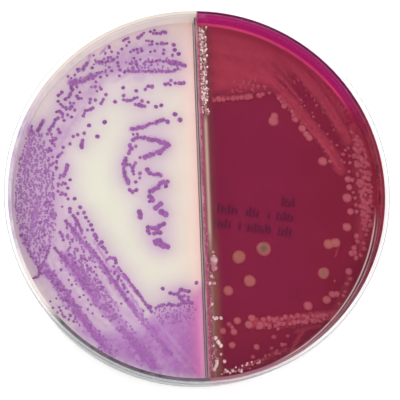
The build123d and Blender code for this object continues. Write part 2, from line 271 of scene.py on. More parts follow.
# Single colonies: x, y, radius
VIOLET_SINGLES = [
    (-3.8, 38.7, 0.55), (-3.6, 37.3, 0.55), (-4.2, 35.9, 0.45), (-2.6, 36.2, 0.56), (-8, 39.1, 0.4),
    (-9.7, 37, 0.36), (-8.6, 37.2, 0.4), (-12, 38, 0.36), (-13.8, 35.4, 0.38), (-12.2, 35, 0.36),
    (-11.4, 42.6, 0.4), (-9.7, 42.7, 0.4), (-8.7, 43.2, 0.4), (-15, 39.9, 0.4), (-15.6, 39, 0.36),
    (-16.8, 38.1, 0.42), (-17.7, 37, 0.4), (-17.9, 35.9, 0.38), (-20, 38.7, 0.42), (-20.2, 39.4, 0.36),
    (-24.4, 37.5, 0.34), (-19.9, 33.3, 0.38), (-19.3, 32.3, 0.42), (-17.4, 30.9, 0.4),
    (-16.1, 31.8, 0.42), (-24.2, 33.4, 0.44), (-28, 33.3, 0.42), (-28.6, 31.8, 0.38),
    (-22.1, 30.8, 0.4), (-23.2, 29.6, 0.4), (-28, 28.6, 0.42), (-27.2, 27.1, 0.4), (-32.7, 25.1, 0.44),
    (-32, 24.3, 0.4), (-20.7, 26.2, 0.48), (-24.7, 24.3, 0.42), (-18.5, 24.3, 0.52),
    (-29.6, 24.5, 0.38), (-28.4, 22.6, 0.42), (-30.2, 21.5, 0.42), (-29.2, 20.9, 0.42),
    (-33, 22.4, 0.4), (-31.1, 20.1, 0.42), (-16.5, 27.8, 0.5), (-16.4, 25.8, 0.5), (-13.3, 26.9, 0.5),
    (-11.1, 27.2, 0.46), (-3.7, 28.6, 0.46), (-8.6, 22.8, 0.52), (-7.3, 23.1, 0.52),
    (-4, 20.8, 0.62), (-2.8, 19.4, 0.66), (-5.9, 19, 0.62), (-24.9, 18.6, 0.54), (-21.1, 19.3, 0.6),
    (-22.9, 15.8, 0.58), (-28.8, 16, 0.46), (-27.7, 16.4, 0.48), (-26.1, 16.7, 0.48),
    (-29.6, 14.2, 0.44), (-31.3, 13.4, 0.46), (-33, 8.4, 0.44), (-29.7, 5.4, 0.44), (-30.9, 4.5, 0.46),
    (-30.3, 3.4, 0.46), (-28.7, 0.8, 0.5), (-30.3, 0.8, 0.42), (-12.8, 10.4, 0.42), (-8, 11.2, 0.42),
    (-14, 4.5, 0.46), (-15.5, 2.6, 0.52), (-6.8, 3.3, 0.54), (-27.4, -1.3, 0.52), (-26.5, -2.6, 0.5),
    (-28, -2.8, 0.46), (-26.1, -3.8, 0.48), (-24.6, -6.8, 0.48), (-25.8, -6.8, 0.4), (-21.4, -14, 0.4),
    (-8.4, -21.2, 0.52), (-6.6, -22.3, 0.54), (-0.1, -20, 0.52), (-30.1, -20, 0.34),
    (-30.8, -18.8, 0.34), (-32.6, -16.3, 0.42), (-24.2, -15.7, 0.32), (-22, -17.2, 0.3),
    (-28.3, -23, 0.34), (-27.3, -22.5, 0.3), (-26.3, -23.6, 0.3), (-25.7, -24.8, 0.3),
    (-26.5, -26, 0.3), (-25.4, -27, 0.3), (-21, -25.4, 0.3), (-18.4, -24.6, 0.3), (-13.2, -26.4, 0.3),
    (-35.8, -24.2, 0.3), (-35.3, -25.8, 0.34), (-33.6, -25.6, 0.36), (-33.3, -26.4, 0.32),
    (-31.9, -25.8, 0.32), (-32.4, -28, 0.34), (-31.4, -28.6, 0.36), (-30.8, -27.6, 0.34),
    (-30.2, -29.2, 0.34), (-33, -27.4, 0.3), (-34.2, -23.4, 0.28),
]
# Scattered patches: outline, spacing, radius, share that come in pairs, how pale
VIOLET_PATCHES = [
    (
        [(-40.4, 18), (-36.4, 17), (-34.4, 9), (-33.4, 1), (-33.2, -5), (-35, -11), (-38, -15.4),
         (-41, -10.6), (-43.4, -6), (-44.2, 2), (-43.2, 9), (-42, 14)],
        0.82, 0.28, 0.5, 0.5,
    ),
    ([(-35, 19), (-32.4, 12), (-31, 4), (-31.4, -4), (-35, -4), (-36, 10)], 1.8, 0.38, 0.4, 0.2),
    ([(-31, -4), (-28, -6), (-24, -12), (-26, -17), (-31, -12)], 1.15, 0.32, 0.5, 0.3),
    ([(-31.5, 28), (-28.5, 32.5), (-24, 36), (-20, 38), (-19, 33), (-26, 28)], 2.2, 0.32, 0.3, 0.2),
    ([(-11.5, -26.4), (-7, -25.4), (-0.6, -24.8), (-0.6, -29), (-9, -30)], 0.85, 0.25, 0.3, 0.3),
    ([(-33.6, -24), (-30, -28), (-27, -32), (-31, -30.6), (-35.6, -25.4)], 1.6, 0.28, 0.3, 0.3),
    ([(-31, -14), (-27.5, -19), (-24, -24), (-21, -23), (-25, -17), (-28, -12.6)], 1.0, 0.27, 0.5, 0.4),
    ([(-37, -16), (-33, -22), (-29, -28), (-27.6, -27), (-31.6, -20.6), (-35, -15.8)], 0.9, 0.27, 0.5, 0.3),
    ([(-16, 31.4), (-16, 35), (-9, 35), (-2, 34.6), (-2, 31.6)], 1.3, 0.28, 0.5, 0.3),
]

# The same tables for the red side
RED_FILMS = [
    ([(17, 31), (20.6, 27.4), (24.6, 22.9), (28.8, 17.6), (32.4, 12.6), (34.4, 9), (35.3, 6.4)], 2.9, 0.55),
    ([(21, 25.2), (25, 20.6), (29, 15.7), (32.4, 11.2), (34.8, 6.8)], 1.1, 0.85),
    ([(22.6, 25.8), (26.4, 21), (30, 16), (33.2, 11.6)], 0.7, 0.75),
    ([(19, 30.6), (23.2, 26.2), (27.2, 20.8), (31, 15.4), (34, 11.2)], 0.6, 0.7),
    ([(13.4, 35), (17.4, 31.4), (21, 27.4)], 1.6, 0.45),
    ([(16.4, 36), (20.6, 31.8), (23.6, 28), (26.6, 23.8)], 0.9, 0.5),
    ([(20.4, 35.4), (22.6, 32), (24.6, 28.8)], 0.7, 0.5),
    ([(23.4, 35.6), (27.2, 31), (30.8, 26.4), (34, 21.4), (36.6, 16.6), (37.7, 13.8)], 2.8, 0.55),
    ([(26.6, 30.6), (30.2, 26), (33.4, 21), (36, 16.4)], 0.8, 0.85),
    ([(28.4, 31), (31.6, 26.8), (34.8, 21.6), (37.2, 16.8)], 0.7, 0.75),
    ([(28.6, 33.8), (32, 29.6), (35.4, 24.4), (38, 19)], 1.0, 0.3),
    ([(8, 41.4), (15, 39.6), (21.4, 36)], 3.0, 0.35),
    ([(5.4, 37.6), (11, 36.8), (16, 34.4)], 3.6, 0.4),
    ([(5.4, 33.4), (10, 32.6), (15, 30.4)], 3.0, 0.42),
    ([(5.4, 29.4), (9.4, 28.8), (13, 28.2)], 2.4, 0.36),
    ([(5.4, 24.4), (9, 24.6), (14.4, 25)], 1.3, 0.75),
    ([(41.4, 16.4), (42.8, 9), (43, 2)], 1.3, 0.4),
    ([(39.4, 17.4), (41, 11), (41.8, 4), (41.6, -3)], 1.8, 0.6),
    ([(42.4, -3), (41.4, -9), (39.8, -15)], 2.0, 0.5),
    ([(39.6, 8), (40.2, 2), (40.2, -6), (39, -12)], 1.2, 0.4),
    ([(12.4, -30.3), (19, -30.1), (26, -29.8), (32.6, -29.4)], 2.6, 0.8),
    ([(16, -31.4), (22, -31.2), (29, -31)], 0.8, 0.5),
    ([(23.2, -32.9), (28.6, -31.8)], 1.1, 0.5),
    ([(24.6, -33), (21.8, -37.8)], 0.9, 0.5),
    ([(10, -41), (14.6, -39.8), (17.4, -38.4), (20.6, -37.4)], 1.2, 0.5),
    ([(36.8, -20.6), (34.4, -26), (31.4, -29.8)], 2.0, 0.35),
    ([(34, -12.6), (33.1, -14.8)], 0.5, 0.4),
]
RED_LAWNS = [
    (
        [(4.4, 43.6), (12, 43), (19, 40.4), (22.6, 36.6), (21, 33), (22, 29), (19, 26.4), (4.4, 25.4)],
        0.5, 2.4, -14,
    ),
    ([(18, 40.4), (25, 36.4), (29, 32.6), (25, 31), (22, 28.6), (18, 33)], 0.3, 3.0, -52),
    ([(38, 17), (41, 15), (43, 6), (43, -6), (41, -14), (38.6, -12), (39, -4), (39, 6)], 0.34, 1.6, 84),
]
RED_ROWS = [
    ([(5.6, 24), (7.4, 24.4), (14.2, 24.9)], 0.8, 0.2, 0.76),
    ([(21.2, 24.6), (22.4, 22.6)], 0.9, 0.25, 0.6),
    ([(24, 21), (25, 19.2)], 0.8, 0.2, 0.66),
    ([(36.4, 10.4), (38, 12)], 0.7, 0.15, 0.46),
    ([(39.4, 16.6), (39.8, 11)], 0.8, 0.7, 0.44),
    ([(40.4, 8), (40.8, 0), (40.8, -8)], 0.95, 0.7, 0.6),
    ([(42, -4), (41.2, -10), (39.8, -15)], 0.95, 0.7, 0.58),
    ([(39.2, -9.6), (37.8, -14)], 0.95, 0.5, 0.66),
    ([(13.4, -31), (20, -30.8), (30, -30.6)], 0.85, 0.4, 0.68),
    ([(15.4, -29.4), (22, -29.2), (31, -29.2)], 0.8, 0.4, 0.66),
    ([(36, -22), (34, -26.4)], 1.2, 0.4, 0.5),
    ([(11.6, -40.6), (15, -39.6), (18.6, -38)], 0.8, 0.5, 0.34),
]
RED_SINGLES = [
    (16.3, 25.2, 0.86), (17.2, 25.5, 0.6), (18.8, 25.8, 0.5), (38, 9.9, 0.4), (35.8, 8.8, 0.4),
    (36.5, 8.3, 0.42), (38, 8.2, 0.5), (37.6, 6, 0.5), (38.3, 3.9, 0.6), (38.9, -2.3, 0.56),
    (39, -4, 0.6), (38.4, 0.8, 0.46), (38.8, -0.6, 0.5), (38.5, -15.4, 0.7), (36.8, -20.6, 0.6),
    (29.4, 19.8, 0.36), (29.2, 20.8, 0.3), (30.6, 22.8, 0.34), (30.7, 17.5, 0.34), (32.6, 15.4, 0.34),
    (33.5, 13.5, 0.34), (34.9, 12.6, 0.4), (27.4, 22.6, 0.34), (26.6, 24, 0.3), (33.6, 12, 0.28),
    (37, 22.4, 0.34), (38, 22.2, 0.34), (36.4, 23.6, 0.24), (38.4, 20.8, 0.24), (32.8, 8.6, 0.55),
    (6.9, -30.2, 0.66), (7.6, -31, 0.6), (16.4, -31.5, 0.56), (18.5, -31.8, 0.6), (17.5, -33.9, 0.66),
    (20.9, -33.8, 0.5), (16.9, -36.7, 0.5), (18.2, -37.5, 0.42), (19.5, -36, 0.6), (20.2, -36, 0.5),
    (12.4, -38.7, 0.55), (5.6, -39.4, 0.5), (4.9, -37.5, 0.46), (19, -38.4, 0.36), (15.4, -38.6, 0.36),
    (32.8, -20.8, 0.3),
]
RED_PATCHES = [
    ([(8, 25.8), (10.6, 28.6), (15.4, 29.4), (19, 26.4)], 1.1, 0.32, 0.3, 0.3),
    ([(39, 15), (43, 13), (44, 0), (42.6, -9), (40.4, -9), (39.6, 4)], 1.15, 0.74, 0.1, 0.0),
    ([(21, 30), (26, 26), (29, 20), (33, 14), (31, 17), (26, 22)], 1.7, 0.24, 0.4, 0.8),
    ([(33, 33), (36, 27), (40, 21), (38, 19), (34, 26), (31, 32)], 1.8, 0.24, 0.4, 0.7),
    ([(24, 31), (28, 28), (33, 22), (36, 16), (34, 16), (30, 22), (25, 28)], 1.7, 0.24, 0.4, 0.8),
]
# Large colonies: x, y, radius, how brown it is, how dark and green its middle is
LARGE = [
    (19.4, 18.7, 1.25, 0.3, 0), (19.7, 19.9, 0.95, 0.3, 0), (22.3, 22.5, 0.75, 0.2, 0),
    (24.7, 19.1, 0.75, 0.2, 0), (26.4, 16.8, 0.95, 0.2, 0), (27.3, 15.4, 0.8, 0.2, 0),
    (28, 14.5, 0.85, 0.2, 0), (31, 8.6, 1.12, 0.35, 0), (37.2, 4.1, 0.85, 0.2, 0),
    (37.4, 2.1, 0.75, 0.2, 0), (36.7, -0.5, 1.15, 0.2, 0), (37.4, -3.9, 0.85, 0.2, 0),
    (36.3, -7.7, 1.08, 0.3, 0), (31.5, -11.7, 1.25, 0.8, 0), (33.2, -11.4, 1.2, 0.7, 0),
    (30, -18.7, 1.4, 0.8, 0.6), (15.7, -12.3, 1.75, 0.8, 1), (9.8, -14.1, 1.62, 1, 0.25),
    (12.1, -19.9, 1.45, 0.7, 0.1), (7, -22.1, 1.2, 0.6, 0), (26, -26.6, 1.1, 0.2, 0),
    (30.7, -25.4, 1.0, 0.2, 0), (32.1, -24.1, 0.85, 0.15, 0), (33.3, -24.1, 0.75, 0.15, 0),
    (36.5, -18.7, 0.85, 0.15, 0), (37.4, -14.2, 0.8, 0.15, 0), (8.9, -29.4, 0.9, 0.3, 0),
    (12.3, -28.9, 0.9, 0.3, 0), (11.6, -30.5, 1.0, 0.3, 0), (8, -32.1, 0.82, 0.3, 0),
    (5.4, -31.8, 0.8, 0.4, 0), (14.3, -30.7, 0.9, 0.3, 0), (7.5, -35.4, 0.8, 0.4, 0),
    (13.3, -36.2, 0.72, 0.3, 0),
]
# Wet beads along the divider's foot and the near rim: path, spacing, scatter, radius
BEAD_ROWS = [
    ([(3.6, -13), (4, -14.4)], 0.5, 0.3, 0.5),
    ([(3.9, -14.6), (4, -16.6)], 0.62, 0.1, 0.95),
    ([(3.5, -17.4), (3.5, -19)], 0.6, 0.3, 0.5),
    ([(2.9, -20.2), (3.8, -20.3)], 0.45, 0.1, 0.55),
    ([(3, -25), (3.2, -28.2)], 1.1, 0.3, 0.36),
    ([(3.6, -28.7), (5, -28.7)], 0.5, 0.1, 0.5),
    ([(3.2, -33.4), (4, -34), (4.8, -35.4)], 0.42, 0.15, 0.55),
    ([(3.2, -35.6), (3.6, -36.4)], 0.6, 0.3, 0.4),
    ([(3.2, -37), (3.4, -38.2)], 0.6, 0.3, 0.36),
    ([(4.8, -37.6), (5.6, -39.5)], 1.9, 0.1, 0.42),
    ([(3.9, -38.8), (4, -40.2), (3.2, -41.4)], 0.4, 0.15, 0.55),
    ([(5.4, -42.2), (10, -41.4), (14, -40.2)], 0.4, 0.7, 0.28),
    ([(6, -42.6), (9.6, -42.1)], 0.34, 0.4, 0.34),
]
# Patches of the same beads, with the columns of the other patches
BEAD_PATCHES = [
    ([(2.5, 20.4), (4.2, 20.4), (4.3, 43), (2.5, 43)], 0.6, 0.36, 0.5, 0.0),
    ([(2.4, -42), (3.1, -42), (3.1, -8), (2.4, -8)], 0.66, 0.26, 0.3, 1.0),
]


def mm(*values):
    return Vector(values) * MM


# --- plan and gel surface -------------------------------------------------------------------


def place(points, side):
    """Plan points in millimetres, drawn in a little near the walls so that they fit one gel."""
    points = np.array(points, float)
    off_face = np.abs(points[:, 0] - PLAN_FACE[side])
    points[:, 0] += (FACE[side] - PLAN_FACE[side]) * np.exp(-off_face / PLAN_GIVE)
    outward = (np.hypot(points[:, 0], points[:, 1]) / PLAN_RADIUS) ** 4
    return points * (1 - (1 - GEL_RADIUS / PLAN_RADIUS) * outward)[:, None]


def off_divider(x):
    """Distance from the divider's face, on whichever side of it x lies."""
    return np.where(x < DIVIDER_X, FACE[CREAM] - x, x - FACE[RED])


def gel_height(x, y):
    """Height of a gel's surface in millimetres: flat, with a meniscus that climbs every wall."""
    to_wall = GEL_RADIUS - np.hypot(x, y)
    near = np.clip(np.minimum(to_wall, off_divider(x)), 0, CLIMB_REACH)
    return GEL_LEVEL + CLIMB * (1 - near / CLIMB_REACH) ** 3


def gel_grid(side):
    """A grid over one half disc whose lines crowd towards the walls: x and y, ROWS by COLUMNS."""
    tip = GEL_RADIUS * 0.9985
    row_crowding = 0.94 * math.pi / 2
    column_crowding = 0.12
    y = tip * np.sin(np.linspace(-1, 1, ROWS) * row_crowding) / math.sin(row_crowding)
    share = np.linspace(0, 1, COLUMNS)
    share = share - column_crowding * np.sin(2 * math.pi * share) / math.pi
    wall = side * np.sqrt(GEL_RADIUS**2 - y**2)
    x = FACE[side] + (wall[:, None] - FACE[side]) * share[None, :]
    return x, np.repeat(y[:, None], COLUMNS, 1)


def beside_path(x, y, path):
    """How far every grid point lies to the side of a path of straight runs, and how far along it."""
    best = np.full(x.shape, 1e9)
    sideways, along = np.zeros(x.shape), np.zeros(x.shape)
    done = 0.0
    for (ax, ay), (bx, by) in zip(path, path[1:]):
        run = math.hypot(bx - ax, by - ay)
        share = np.clip(((x - ax) * (bx - ax) + (y - ay) * (by - ay)) / run**2, 0, 1)
        gap = np.hypot(x - ax - share * (bx - ax), y - ay - share * (by - ay))
        left = np.sign((bx - ax) * (y - ay) - (by - ay) * (x - ax))
        closer = gap < best
        best = np.where(closer, gap, best)
        sideways = np.where(closer, gap * left, sideways)
        along = np.where(closer, done + share * run, along)
        done += run
    return sideways, along


def inside(x, y, outline):
    """True for the points inside a closed outline."""
    result = np.zeros(np.shape(x), bool)
    ends = list(outline[1:]) + [outline[0]]
    for (ax, ay), (bx, by) in zip(outline, ends):
        crosses = (ay > y) != (by > y)
        level = np.where(by == ay, 1e-9, by - ay)
        result ^= crosses & (x < (bx - ax) * (y - ay) / level + ax)
    return result


def smooth_step(value, low, high):
    """0 up to low, 1 from high on, smooth between."""
    share = np.clip((value - low) / (high - low), 0, 1)
    return share * share * (3 - 2 * share)


def soft_noise(x, y, scale, seed):
    """Smooth random values from 0 to 1 over the plane, with features of about scale millimetres."""
    table = np.random.RandomState(seed).rand(SOFT_SPAN, SOFT_SPAN)
    u, v = x / scale + 200, y / scale + 200
    iu, iv = np.floor(u).astype(int), np.floor(v).astype(int)
    fu, fv = u - iu, v - iv
    fu, fv = fu * fu * (3 - 2 * fu), fv * fv * (3 - 2 * fv)
    near_u, far_u = iu % SOFT_SPAN, (iu + 1) % SOFT_SPAN
    near_v, far_v = iv % SOFT_SPAN, (iv + 1) % SOFT_SPAN
    low = table[near_u, near_v] * (1 - fu) + table[far_u, near_v] * fu
    high = table[near_u, far_v] * (1 - fu) + table[far_u, far_v] * fu
    return low * (1 - fv) + high * fv


# --- growth ---------------------------------------------------------------------------------


def loop_marks(sideways, along, coarseness, seed):
    """The texture that a loop leaves, from 0 to 1: parallel lines, partly broken into beads."""
    lines = soft_noise(sideways / (0.5 * coarseness), along / 9, 1, seed)
    beads = soft_noise(sideways / (0.55 * coarseness), along / 0.8, 1, seed + 1)
    return 0.55 * lines + 0.45 * beads


def film_density(x, y, films, side, seed):
    """How thick the streaked films are, from 0 to 1, at every grid point of a gel."""
    density = np.zeros(x.shape)
    for index, (path, width, strength) in enumerate(films):
        sideways, along = beside_path(x, y, place(path, side))
        ragged = np.abs(sideways) + 0.6 * (soft_noise(x, y, 0.6, seed + 3 * index) - 0.5)
        body = 1 - smooth_step(ragged, 0.2 * width, 0.62 * width)
        marks = loop_marks(sideways, along, 1.0, seed + 3 * index + 1)
        density = np.maximum(density, strength * body * (0.3 + 1.0 * marks))
    return density


def lawn_density(x, y, lawns, side, seed):
    """How thick the lawns are, from 0 to 1. They lie under the films and fade at their edges."""
    density = np.zeros(x.shape)
    for index, (outline, strength, fade, way) in enumerate(lawns):
        shape = [tuple(p) for p in place(outline, side)]
        sideways, _ = beside_path(x, y, shape + [shape[0]])
        depth = np.where(inside(x, y, shape), 1, -1) * np.abs(sideways)
        depth += 0.6 * (soft_noise(x, y, 1.2, seed + 3 * index) - 0.5)
        if way is None:
            turned = GEL_RADIUS * np.arctan2(y, x)
            marks = loop_marks(np.hypot(x, y), turned, 1.6, seed + 3 * index + 1)
        else:
            turn = math.radians(way)
            across = x * math.sin(turn) - y * math.cos(turn)
            down = x * math.cos(turn) + y * math.sin(turn)
            marks = loop_marks(across, down, 1.6, seed + 3 * index + 1)
        body = smooth_step(depth, -fade / 2, fade)
        density = np.maximum(density, strength * body * (0.64 + 0.66 * marks))
    return density


def growth_density(x, y, films, lawns, side, seed):
    """Films over lawns, thickest where they lie on each other."""
    film = film_density(x, y, films, side, seed)
    lawn = lawn_density(x, y, lawns, side, seed + 200)
    return np.clip(np.maximum(film, lawn) + 0.25 * film * lawn, 0, 1)


def along_path(path, spacing):
    """Evenly spaced points along a path of straight runs."""
    path = np.asarray(path, float)
    runs = np.hypot(*np.diff(path, axis=0).T)
    reach = np.concatenate([[0], np.cumsum(runs)])
    count = max(2, int(round(reach[-1] / spacing)) + 1)
    steps = np.linspace(0, reach[-1], count)
    return np.stack([np.interp(steps, reach, path[:, axis]) for axis in (0, 1)], 1)


def row_colonies(rows, side):
    """Colonies along dotted rows: x, y, radius, how pale."""
    found = []
    for path, spacing, scatter, radius in rows:
        spots = place(along_path(path, spacing * SPACING_GIVE), side)
        spots += random.uniform(-1, 1, spots.shape) * (scatter * 0.8 + 0.06)
        sizes = radius * random.uniform(0.85, 1.3, len(spots))
        found.append(np.column_stack([spots, sizes, np.full(len(spots), 0.1)]))
    return np.concatenate(found)


def patch_colonies(patches, side):
    """Colonies scattered over patches on a shaken hexagonal net. Some come in pairs."""
    found = []
    row_pitch, shake = 0.87, 0.42
    for outline, spacing, radius, paired, pale in patches:
        low, high = np.min(outline, 0), np.max(outline, 0)
        for row, y in enumerate(np.arange(low[1], high[1], spacing * row_pitch)):
            x = np.arange(low[0] + spacing * 0.5 * (row % 2), high[0], spacing)
            spots = np.column_stack([x, np.full(len(x), y)])
            spots += random.uniform(-shake, shake, spots.shape) * spacing
            spots = spots[inside(spots[:, 0], spots[:, 1], outline)]
            twins = spots[random.rand(len(spots)) < paired]
            twins = twins + random.uniform((-0.4, 0.9), (0.4, 1.3), twins.shape) * radius * 1.4
            spots = place(np.concatenate([spots, twins]), side)
            if len(spots):
                sizes = radius * random.uniform(0.65, 1.2, len(spots))
                found.append(np.column_stack([spots, sizes, np.full(len(spots), pale)]))
    return np.concatenate(found)


def film_colonies(films, side, spacing, radius):
    """Small colonies that stand out of the wider films, along and across each of them."""
    found = []
    narrow = 1.0
    for path, width, strength in films:
        if width < narrow:
            continue
        spots = place(along_path(path, spacing / width), side)
        spots += random.uniform(-0.5, 0.5, spots.shape) * width
        sizes = radius * random.uniform(0.7, 1.25, len(spots))
        found.append(np.column_stack([spots, sizes, np.full(len(spots), 1 - 0.6 * strength)]))
    return np.concatenate(found)


def single_colonies(singles, side):
    """Colonies from a table of x, y and radius: x, y, radius and 0."""
    singles = np.asarray(singles, float)
    return np.column_stack([place(singles[:, :2], side), singles[:, 2], np.zeros(len(singles))])


def on_gel(colonies):
    """The colonies, moved in where they would reach past a gel's edge."""
    reach = np.hypot(colonies[:, 0], colonies[:, 1])
    most = GEL_RADIUS - WALL_GAP - colonies[:, 2]
    colonies[:, :2] *= np.minimum(1, most / reach)[:, None]
    short = np.maximum(FACE_GAP + colonies[:, 2] - off_divider(colonies[:, 0]), 0)
    colonies[:, 0] += np.where(colonies[:, 0] < DIVIDER_X, -short, short)
    return colonies


def nearness(x, y, colonies, blur):
    """How much growth lies around every grid point, blurred over blur millimetres."""
    total = np.zeros(x.shape, np.float32)
    reach = 3 * blur
    for cx, cy, radius in colonies[:, :3]:
        near = (np.abs(x - cx) < reach) & (np.abs(y - cy) < reach)
        gap = (x[near] - cx) ** 2 + (y[near] - cy) ** 2
        total[near] += (radius / blur) ** 2 * np.exp(-gap / (2 * blur**2))
    return total


# --- meshes ---------------------------------------------------------------------------------


def new_piece(name, verts, faces, material):
    """A smooth mesh object from points in millimetres and faces, riding on the dish."""
    mesh = bpy.data.meshes.new(name)
    mesh.from_pydata((np.asarray(verts) * MM).tolist(), [], faces)
    mesh.polygons.foreach_set("use_smooth", np.full(len(mesh.polygons), True))
    mesh.materials.append(material)
    mesh.update()
    piece = bpy.data.objects.new(name, mesh)
    bpy.context.scene.collection.objects.link(piece)
    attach(piece, "dish")
    return piece


def paint(piece, name, colours):
    """Gives each vertex a colour, as linear values."""
    colours = np.asarray(colours, np.float32)
    full = np.ones((len(colours), 4), np.float32)
    full[:, : colours.shape[1]] = colours
    layer = piece.data.color_attributes.new(name, "FLOAT_COLOR", "POINT")
    layer.data.foreach_set("color", full.ravel())


def kept_faces(shape, keep, side):
    """The four-sided faces of a grid where keep is True, facing up."""
    index = np.arange(shape[0] * shape[1]).reshape(shape)
    quads = np.stack([index[:-1, :-1], index[:-1, 1:], index[1:, 1:], index[1:, :-1]], -1)
    quads = quads[keep]
    return quads[:, ::-1] if side == CREAM else quads


def film_rise(density):
    """How far a film stands above its gel, in millimetres."""
    return 0.01 + 0.17 * density**1.3


def footing(colonies, x, y, density, side):
    """The height that every colony stands on: the gel, or the film on it."""
    row = np.clip(np.searchsorted(y[:, 0], colonies[:, 1]), 0, ROWS - 1)
    column = [np.searchsorted(side * x[r], side * cx) for r, cx in zip(row, colonies[:, 0])]
    column = np.clip(column, 0, COLUMNS - 1)
    film = np.where(density[row, column] > THINNEST, film_rise(density[row, column]), 0)
    return gel_height(colonies[:, 0], colonies[:, 1]) + film


def open_edges(faces):
    """The edges that only one face has, each in its face's direction: start to end."""
    edges = {}
    for face in faces.tolist():
        for a, b in zip(face, face[1:] + face[:1]):
            if (b, a) in edges:
                del edges[(b, a)]
            else:
                edges[(a, b)] = True
    return list(edges)


def gel_piece(name, side, x, y, colours, plain):
    """A poured half disc: its painted surface with the meniscus, its walls and its plain underside."""
    upper = kept_faces(x.shape, np.ones((ROWS - 1, COLUMNS - 1), bool), side)
    after = dict(open_edges(upper))
    loop = [0]
    while after[loop[-1]] != 0:
        loop.append(after[loop[-1]])
    count = x.size
    verts = np.column_stack([x.ravel(), y.ravel(), gel_height(x, y).ravel()])
    foot = verts[loop]
    foot[:, 2] = GEL_BASE
    faces = upper.tolist()
    faces.append([count + step for step in reversed(range(len(loop)))])
    for step, corner in enumerate(loop):
        follow = (step + 1) % len(loop)
        faces.append([loop[follow], corner, count + step, count + follow])
    piece = new_piece(name, np.concatenate([verts, foot]), faces, gel_material(name))
    below = np.tile(linear(plain), (len(loop), 1))
    paint(piece, "albedo", np.concatenate([colours.reshape(-1, 3), below]))
    return piece


def film_piece(name, side, x, y, density, colours, material):
    """Growth film: a low closed skin, coloured like the gel below it, wherever there is growth."""
    thick = density > THINNEST
    keep = thick[:-1, :-1] | thick[1:, :-1] | thick[:-1, 1:] | thick[1:, 1:]
    upper = kept_faces(x.shape, keep, side)
    used = np.unique(upper)
    order = np.full(x.size, -1)
    order[used] = np.arange(len(used))
    ground = gel_height(x, y)
    top = ground + film_rise(density)
    plan = np.column_stack([x.ravel()[used], y.ravel()[used]])
    above = np.column_stack([plan, top.ravel()[used]])
    sunk = 0.03
    below = np.column_stack([plan, ground.ravel()[used] - sunk])
    faces = order[upper].tolist() + (order[upper][:, ::-1] + len(used)).tolist()
    for start, end in open_edges(upper):
        a, b = order[start], order[end]
        faces.append((b, a, a + len(used), b + len(used)))
    piece = new_piece(name, np.concatenate([above, below]), faces, material)
    shown = colours.reshape(-1, 3)[used]
    paint(piece, "albedo", np.concatenate([shown, shown]))
    amount = np.repeat(density.ravel()[used][:, None], 3, 1)
    paint(piece, "tone", np.concatenate([amount, amount]))
    return piece


def colony_piece(name, colonies, grounds, height_share, material, segments=10, unevenness=0.06):
    """Many low domes in one mesh. A point's tone: chance, nearness to the middle, fourth column."""
    turns = np.linspace(0, 2 * math.pi, segments, endpoint=False)
    verts, faces, tones = [], [], []
    for (x, y, radius, third), ground in zip(colonies[:, :4], grounds):
        chance = random.rand()
        lumps = np.sin(2 * turns + 6 * chance) + 0.6 * np.sin(3 * turns + 40 * chance)
        wobble = 1 + unevenness * lumps
        height = radius * height_share
        first = len(verts)
        for share, lift in DOME_RINGS:
            for turn, bulge in zip(turns, wobble):
                px = x + radius * share * bulge * math.cos(turn)
                py = y + radius * share * bulge * math.sin(turn)
                verts.append((px, py, ground + height * lift))
                tones.append((chance, 1 - share, third))
        verts.append((x, y, ground + height))
        tones.append((chance, 1, third))
        for ring in range(len(DOME_RINGS) - 1):
            low = first + ring * segments
            for step in range(segments):
                after = (step + 1) % segments
                faces.append((low + step, low + after, low + segments + after, low + segments + step))
        last = first + (len(DOME_RINGS) - 1) * segments
        for step in range(segments):
            faces.append((last + step, last + (step + 1) % segments, last + segments))
        faces.append(tuple(range(first + segments - 1, first - 1, -1)))
    piece = new_piece(name, verts, faces, material)
    paint(piece, "tone", tones)
    return piece


# --- materials ------------------------------------------------------------------------------


def linear(code):
    """A linear colour from the usual six-digit code."""
    parts = [int(code[i : i + 2], 16) / 255 for i in (0, 2, 4)]
    return tuple(p / 12.92 if p <= 0.04045 else ((p + 0.055) / 1.055) ** 2.4 for p in parts)


